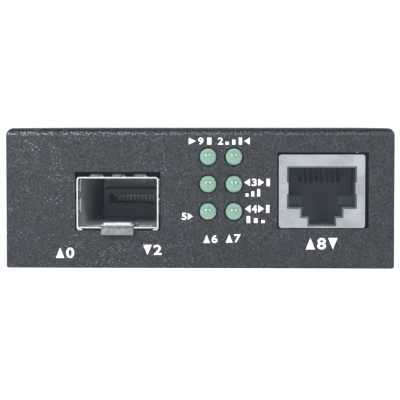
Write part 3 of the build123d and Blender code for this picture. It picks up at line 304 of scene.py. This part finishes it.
# Printed marks on the front panel: thin white ink, a small number or plain figure beside each lamp and
# under each socket. Each mark is a row of figures in a box, given in millimetres on the panel as its left
# and lower edges, its width and its height.
ink_thickness = 0.03 * mm
ink_patch_size = 0.25 * mm
ink_depth = 0.02 * mm
marks = {
    "mark_lamp_one": ("right 9 bar", (-1.98, 22.61, 4.40, 1.28)),
    "mark_lamp_two": ("2 low mid bar left", (3.33, 22.61, 5.81, 1.28)),
    "mark_lamp_three": ("left 3 right bar", (8.15, 15.06, 4.89, 1.34)),
    "mark_lamp_three_level": ("low mid bar", (8.23, 13.15, 2.99, 1.34)),
    "mark_lamp_four": ("left 4 right bar", (8.28, 10.19, 4.67, 1.43)),
    "mark_lamp_four_level": ("bar mid low", (8.37, 8.32, 3.76, 1.25)),
    "mark_lamp_five": ("5 right", (-3.26, 8.87, 2.02, 1.28)),
    "mark_left_column": ("up 6", (0.70, 4.65, 2.64, 1.47)),
    "mark_right_column": ("up 7", (4.80, 4.73, 2.75, 1.52)),
    "mark_slot_out": ("up 0", (-26.34, 1.83, 3.37, 1.91)),
    "mark_slot_in": ("down 2", (-10.31, 2.45, 3.39, 1.83)),
    "mark_socket": ("up 8 down", (19.38, 3.52, 5.75, 2.09)),
}
figures = {
    "up": [(0, 0), (1, 0), (0.5, 1)],
    "down": [(0, 1), (0.5, 0), (1, 1)],
    "left": [(0, 0.5), (1, 0), (1, 1)],
    "right": [(0, 0), (1, 0.5), (0, 1)],
    "bar": [(0.2, 0), (0.8, 0), (0.8, 1), (0.2, 1)],
    "mid": [(0.2, 0), (0.8, 0), (0.8, 0.7), (0.2, 0.7)],
    "low": [(0.2, 0), (0.8, 0), (0.8, 0.4), (0.2, 0.4)],
}
figure_gap = 0.22  # of a figure's width
figure_seam = 0.0005  # of its cell, within which the caps' and walls' corners are one
digit_stroke = 0.022  # by which the font's outline is moved outwards, of its size
digit_spread = 1.2  # of the digit's own width at the mark's height
widest_digit = 0.95  # of its cell


def figure_mesh(name):
    """A figure as a closed solid 1 deep: a digit of the built-in font, or a polygon in a cell of 1 by 1,
    extruded. The extrusion's caps and walls come apart, so their corners are merged."""
    if name.isdigit():
        curve = bpy.data.curves.new(name, "FONT")
        curve.body = name
        curve.offset = digit_stroke
    else:
        curve = bpy.data.curves.new(name, "CURVE")
        curve.dimensions = "2D"
        curve.fill_mode = "BOTH"
        outline = curve.splines.new("POLY")
        outline.points.add(len(figures[name]) - 1)
        for point, (x, y) in zip(outline.points, figures[name]):
            point.co = (x, y, 0, 1)
        outline.use_cyclic_u = True
    curve.extrude = 0.5
    holder = bpy.data.objects.new(name, curve)
    bpy.context.scene.collection.objects.link(holder)
    extruded = holder.evaluated_get(bpy.context.evaluated_depsgraph_get())
    mesh = bpy.data.meshes.new_from_object(extruded)
    bpy.data.objects.remove(holder)
    closed = bmesh.new()
    closed.from_mesh(mesh)
    bmesh.ops.remove_doubles(closed, verts=closed.verts, dist=figure_seam)
    bmesh.ops.recalc_face_normals(closed, faces=closed.faces)
    closed.to_mesh(mesh)
    closed.free()
    return mesh


ink = Finish("white_ink", Roughness=0.55, Specular_IOR_Level=0.3)
ink_patches = ink.noise(ink_patch_size)
ink.feed(Base_Color=ink.colours(ink_patches, (0.66, 0.68, 0.69, 1), (0.86, 0.87, 0.88, 1)))
ink.feed(Normal=ink.bump(ink.noise(grain_size), ink_depth, 0.4))
for mark, (row, (left, foot, wide, tall)) in marks.items():
    names = row.split()
    cell = wide / (len(names) + figure_gap * (len(names) - 1))
    points, faces = [], []
    for place, name in enumerate(names):
        mesh = figure_mesh(name)
        flat = np.empty(3 * len(mesh.vertices))
        mesh.vertices.foreach_get("co", flat)
        flat = flat.reshape(-1, 3)
        if name.isdigit():
            low, high = flat.min(axis=0), flat.max(axis=0)
            flat[:, :2] = (flat[:, :2] - low[:2]) / (high[:2] - low[:2])
            own_width = (high[0] - low[0]) / (high[1] - low[1]) * tall / cell
            flat[:, 0] = 0.5 + (flat[:, 0] - 0.5) * min(widest_digit, digit_spread * own_width)
        x = left + cell * ((1 + figure_gap) * place + flat[:, 0])
        y = panel_y / mm - ink_thickness / mm * (flat[:, 2] + 0.5)
        z = foot + tall * flat[:, 1]
        first = sum(len(rows) for rows in points)
        faces += [[first + i for i in face.vertices] for face in mesh.polygons]
        points.append(np.stack([x, y, z], axis=1) * mm)
        bpy.data.meshes.remove(mesh)
    print_mesh = bpy.data.meshes.new(mark)
    print_mesh.from_pydata(np.concatenate(points).tolist(), [], faces)
    print_mesh.validate()
    print_mesh.materials.append(ink.material)
    printed = bpy.data.objects.new(mark, print_mesh)
    bpy.context.scene.collection.objects.link(printed)
    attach(printed, "root")

# Side screws, board screws and board spacers: zinc-plated steel, turned and pressed, with a fine grain
# and a faint warm bloom of the plating. The spacers are clinched into the base.
zinc_bloom_size, zinc_gloss_size = 1.4 * mm, 0.3 * mm
zinc_grain_size, zinc_grain_depth = 0.12 * mm, 0.006 * mm
zinc = Finish("zinc_plate", Metallic=1.0)
bloom = zinc.noise(zinc_bloom_size)
zinc.feed(Base_Color=zinc.colours(bloom, (0.60, 0.61, 0.60, 1), (0.72, 0.71, 0.67, 1)))
zinc.feed(Roughness=0.24 + 0.2 * zinc.noise(zinc_gloss_size))
zinc.feed(Normal=zinc.bump(zinc.noise(zinc_grain_size), zinc_grain_depth, 0.5))
zinc.coat("side_screws", "board_screws", "board_spacers")

# SFP cage and its floor: thin tinned sheet, rolled, so that faint lines run along the cage, with dull
# patches where the tin has been handled, and tarnished inside. Its colour darkens towards the back of
# the cage in painted shade, and painted shade lies along the bend of the latch tongue and the foot of its
# tab.
rolling_size, rolling_depth = 0.20 * mm, 0.006 * mm
along_cage = (1.0, 0.06, 1.0)
dull_size = 0.7 * mm
shade_cloud_size = 0.5 * mm
tin_edge_radius = 0.05 * mm
mouth_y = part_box("sfp_cage")[0][1]
tarnish_from, tarnish_to = mouth_y + 1.0 * mm, mouth_y + 8.0 * mm
shade_from, shade_to = mouth_y + 24.0 * mm, mouth_y + 40.0 * mm
tongue_from, tongue_to = mouth_y - 0.05 * mm, mouth_y - 0.12 * mm
bend_z, tab_foot_z = 7.80 * mm, 6.20 * mm
bend_shade_from, bend_shade_full = bend_z - 0.70 * mm, bend_z - 0.05 * mm
bend_shade_end = bend_z + 0.12 * mm
foot_shade_from = tab_foot_z + 0.35 * mm
clean_tin, dull_tin = (0.60, 0.62, 0.64, 1), (0.43, 0.46, 0.48, 1)
shaded_tin, bend_shade_colour = (0.26, 0.28, 0.30, 1), (0.05, 0.06, 0.065, 1)
tin = Finish("tinned_sheet")
rolling = tin.noise(rolling_size, at=tin.stretched(along_cage))
dull = tin.step(tin.noise(dull_size, detail=4.0), 0.35, 0.70)
bright = tin.colours(dull, clean_tin, dull_tin)
# Painted shade: the tin darkens towards the back of the cage.
shade_inwards = tin.step(tin.axis("Y"), shade_from, shade_to)
deep = tin.colours(shade_inwards, bright, shaded_tin)
tongue = tin.step(tin.axis("Y"), tongue_from, tongue_to)
# Painted shade under the bend of the latch tongue and along the foot of its tab, clouded by noise.
in_bend = tin.step(tin.axis("Z"), bend_shade_from, bend_shade_full)
above_bend = tin.step(tin.axis("Z"), bend_z, bend_shade_end)
along_foot = tin.step(tin.axis("Z"), foot_shade_from, tab_foot_z)
cloudy_shade = 0.5 + 0.6 * tin.noise(shade_cloud_size)
bend_shade = tongue * ((1 - above_bend) * in_bend + 0.5 * along_foot) * cloudy_shade
tin.feed(Base_Color=tin.colours(bend_shade, deep, bend_shade_colour))
tarnish = tin.step(tin.axis("Y"), tarnish_from, tarnish_to)
tin.feed(Metallic=1 - 0.45 * tarnish - 0.25 * dull)
tin.feed(Roughness=0.22 + 0.14 * rolling + 0.16 * dull)
tin_edge, _ = tin.rounded(tin_edge_radius)
tin.feed(Normal=tin.bump(rolling + dull, rolling_depth, 0.7, tin_edge))
tin.coat("sfp_cage", "sfp_cage_floor")

# RJ45 shell: a folded shield of nickel-plated sheet, brushed across its face, with rounded cut edges that
# carry a painted highlight. It is folded round the housing and stands on the board.
brushing_size, brushing_depth = 0.10 * mm, 0.008 * mm
across_face = (0.05, 1.0, 1.0)
cloud_size = 4.0 * mm
shield_edge_radius = 0.12 * mm
nickel_low, nickel_high = (0.235, 0.255, 0.275, 1), (0.375, 0.40, 0.425, 1)
rim_highlight_colour = (0.80, 0.82, 0.85, 1)
shield = Finish("nickel_shield", Metallic=1.0)
brushing = shield.noise(brushing_size, detail=3.0, at=shield.stretched(across_face))
cloud = shield.noise(cloud_size)
brushed = shield.step(0.55 * brushing + 0.45 * cloud, 0.32, 0.68)
nickel = shield.colours(brushed, nickel_low, nickel_high)
shield_edge, shield_rim_highlight = shield.rounded(shield_edge_radius)
# Painted highlight: a pale rim on the shell's rounded cut edges.
shield.feed(Base_Color=shield.colours(shield_rim_highlight, nickel, rim_highlight_colour))
shield.feed(Roughness=0.28 + 0.18 * brushing + 0.06 * cloud)
shield.feed(Normal=shield.bump(brushing, brushing_depth, 0.6, shield_edge))
shield.coat("rj45_shell")

# Black mouldings: the RJ45 housing, the lamp holders and the DC inlet. Glass-filled nylon with the fine
# spark-eroded texture of its mould, and faint flow marks.
flow_size = 2.2 * mm
eroded_size, eroded_depth = 0.09 * mm, 0.006 * mm
nylon_edge_radius = 0.06 * mm
nylon = Finish("black_nylon", Specular_IOR_Level=0.4)
flow = nylon.noise(flow_size, detail=3.0)
eroded = nylon.noise(eroded_size)
nylon.feed(Base_Color=nylon.colours(flow, (0.040, 0.056, 0.074, 1), (0.060, 0.078, 0.098, 1)))
nylon.feed(Roughness=0.38 + 0.2 * eroded)
nylon_edge, _ = nylon.rounded(nylon_edge_radius)
nylon.feed(Normal=nylon.bump(eroded, eroded_depth, 0.6, nylon_edge))
nylon.coat("rj45_housing", "led_holder_left", "led_holder_right", "dc_inlet_body")

# SFP connector: glass-filled liquid crystal polymer, moulded in one piece at the back of the cage, dull,
# with pale streaks of its flow. Its grey is painted light: lighter than the black moulding, to stand in
# for light at the back of the cage.
streak_size = 0.5 * mm
across_connector = (0.2, 1.0, 1.0)
polymer = Finish("connector_polymer", Specular_IOR_Level=0.4)
streaked = polymer.noise(streak_size, at=polymer.stretched(across_connector))
# Painted light: the black moulding is coloured a lighter grey to stand in for light at the back of the
# cage.
polymer.feed(Base_Color=polymer.colours(streaked, (0.21, 0.245, 0.275, 1), (0.27, 0.31, 0.34, 1)))
polymer.feed(Roughness=0.5 + 0.2 * streaked)
polymer.coat("sfp_connector")

# Contacts: spring wire and stamped leaves of phosphor bronze, with a thin gold flash that is paler in
# some places than in others.
flash_size, gold_gloss_size = 0.6 * mm, 0.15 * mm
gold = Finish("gold_flash", Metallic=1.0)
flash = gold.noise(flash_size)
gold.feed(Base_Color=gold.colours(flash, (0.50, 0.45, 0.44, 1), (0.66, 0.60, 0.58, 1)))
gold.feed(Roughness=0.30 + 0.2 * gold.noise(gold_gloss_size))
gold.coat("rj45_contacts", "sfp_contacts")

# Lamps: cast green resin, milky inside and glossy on the dome. Its colour is paler towards the dome's
# side, painted light that evens out the dome's shading, and darker towards its foot, where the resin is
# thickest: painted shade where the panel shades it.
dome_height = 1.5 * mm
milk_size = 0.7 * mm
dome_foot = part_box("led_left_top")[0][1] + dome_height
foot_from, foot_to = dome_foot - 0.22 * mm, dome_foot + 0.02 * mm
side_from, side_to = dome_foot - 1.45 * mm, dome_foot - 0.55 * mm
tip_low, tip_high = (0.098, 0.215, 0.152, 1), (0.132, 0.263, 0.192, 1)
side_light_colour, foot_shade_colour = (0.275, 0.43, 0.365, 1), (0.004, 0.060, 0.030, 1)
sheen_colour = (0.62, 0.86, 0.78, 1)
resin = Finish(
    "green_resin",
    Specular_IOR_Level=0.3,
    Coat_Roughness=0.05,
    Sheen_Weight=0.5,
    Sheen_Roughness=0.4,
    Sheen_Tint=sheen_colour,
)
towards_foot = resin.step(resin.axis("Y"), foot_from, foot_to)
cloudy = resin.noise(milk_size)
# Painted light: paler towards the dome's side, evening out the dome's shading.
tip_to_side = resin.step(resin.axis("Y"), side_from, side_to)
tip = resin.colours(cloudy, tip_low, tip_high)
milky = resin.colours(tip_to_side, tip, side_light_colour)
# Painted shade: the resin darkens at the dome's foot, where the panel shades it.
resin.feed(Base_Color=resin.colours(towards_foot, milky, foot_shade_colour))
resin.feed(Roughness=0.14 + 0.5 * towards_foot, Coat_Weight=0.75 - 0.75 * towards_foot)
lamps = [f"led_{column}_{row}" for column in ("left", "right") for row in ("bottom", "middle", "top")]
resin.coat(*lamps)

# Leads, the DC inlet's pin and its spring: tinned and nickel-plated wire and strip, bright, with fine
# drawing lines along them.
line_size = 0.08 * mm
along_wire = (1.0, 0.1, 1.0)
drawn = Finish("tinned_wire", Metallic=1.0)
lines = drawn.noise(line_size, at=drawn.stretched(along_wire))
drawn.feed(Base_Color=drawn.colours(lines, (0.62, 0.61, 0.59, 1), (0.78, 0.77, 0.74, 1)))
drawn.feed(Roughness=0.16 + 0.22 * lines)
drawn.coat("led_leads", "line_transformer_leads", "dc_inlet_pin", "dc_inlet_spring")

# Circuit board: glass laminate under green solder mask, lighter where copper runs below it and raised
# along the copper's tracks. Its sawn edges are bare and dark.
track_scale = 160.0  # which lays the rows of tracks about 1.6 mm apart
track_width = 0.035  # in the scaled pattern's units
track_depth = 0.03 * mm
pour_size = 9.0 * mm
mask_gloss_size = 0.5 * mm
upright = 0.5  # of the direction's Z, under which a face is an edge
mask = Finish("solder_mask", Specular_IOR_Level=0.5)
tracks = mask.node(
    "ShaderNodeTexBrick",
    {"offset": 0.37, "squash": 1.0},
    {"Vector": mask.place, "Scale": track_scale, "Mortar Size": track_width, "Mortar Smooth": 0.1},
    "Fac",
)
pours = mask.step(mask.noise(pour_size, detail=1.0), 0.46, 0.50)
coppered = mask.maths("MAXIMUM", tracks, pours * 0.6)
coated = mask.colours(coppered, (0.010, 0.085, 0.040, 1), (0.030, 0.170, 0.075, 1))
on_edge = mask.maths("ABSOLUTE", mask.upward()) < upright
mask.feed(Base_Color=mask.colours(on_edge, coated, (0.018, 0.017, 0.010, 1)))
mask.feed(Roughness=0.24 + 0.16 * mask.noise(mask_gloss_size))
mask.feed(Normal=mask.bump(tracks, track_depth, 0.5))
mask.coat("circuit_board")

# Moulded packages: the line transformer, the converter chip and the voltage regulator, black epoxy with
# a fine matt skin.
skin_size, skin_depth = 0.12 * mm, 0.008 * mm
epoxy = Finish("package_epoxy", Specular_IOR_Level=0.4)
skin = epoxy.noise(skin_size, detail=3.0)
epoxy.feed(Base_Color=epoxy.colours(skin, (0.012, 0.012, 0.013, 1), (0.035, 0.035, 0.037, 1)))
epoxy.feed(Roughness=0.5 + 0.2 * skin)
epoxy.feed(Normal=epoxy.bump(skin, skin_depth, 0.6))
epoxy.coat("line_transformer", "converter_chip", "voltage_regulator")

# Power inductor: its body is pressed ferrite, fired, dark grey and slightly porous, and it is soldered
# to the board.
pore_size, pore_depth = 0.35 * mm, 0.02 * mm
ferrite = Finish("ferrite", Roughness=0.55)
pores = ferrite.step(ferrite.grains(pore_size), 0.22, 0.05)
ferrite.feed(Base_Color=ferrite.colours(pores, (0.075, 0.075, 0.08, 1), (0.03, 0.03, 0.032, 1)))
ferrite.feed(Normal=ferrite.bump(1 - pores, pore_depth, 0.7))
ferrite.coat("power_inductor")

# Capacitors: drawn aluminium cans with a dark half-moon printed on top. They stand on black feet and are
# soldered to the board.
foot_height = 1.0 * mm
top_skin = 0.05 * mm  # of the can's top, which carries the print
half_moon_from = 1.2 * mm  # left of the can's middle
streak_width = 0.15 * mm
down_can = (1.0, 1.0, 0.08)
can = Finish("drawn_can")
can_low, can_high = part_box("input_capacitor")
on_foot = can.axis("Z") < can_low[2] + foot_height
on_top = can.axis("Z") > can_high[2] - top_skin
half_moon = can.axis("X") < (can_low[0] + can_high[0]) / 2 - half_moon_from
dark = can.maths("MAXIMUM", on_foot, on_top * half_moon)
streaks = can.noise(streak_width, at=can.stretched(down_can))
can.feed(Base_Color=can.colours(dark, (0.74, 0.74, 0.75, 1), (0.02, 0.02, 0.022, 1)))
can.feed(Metallic=1 - dark, Roughness=0.24 + 0.2 * streaks + 0.2 * dark)
can.coat("input_capacitor", "output_capacitor")

# Clock crystal: a drawn and nickel-plated can, welded to its flange. Its plating is satin and slightly
# cloudy.
worn_size = 0.5 * mm
welded = Finish("crystal_can", Metallic=1.0)
worn = welded.noise(worn_size, detail=3.0)
welded.feed(Base_Color=welded.colours(worn, (0.60, 0.60, 0.58, 1), (0.72, 0.72, 0.70, 1)))
welded.feed(Roughness=0.22 + 0.25 * worn)
welded.coat("clock_crystal")

# Small resistors and capacitors: chips of fired ceramic, brown and matt, soldered to the board by their
# ends.
fired_size = 0.2 * mm
ceramic = Finish("chip_ceramic")
fired = ceramic.noise(fired_size)
ceramic.feed(Base_Color=ceramic.colours(fired, (0.20, 0.13, 0.08, 1), (0.33, 0.25, 0.17, 1)))
ceramic.feed(Roughness=0.4 + 0.2 * fired)
ceramic.coat("chip_passives")
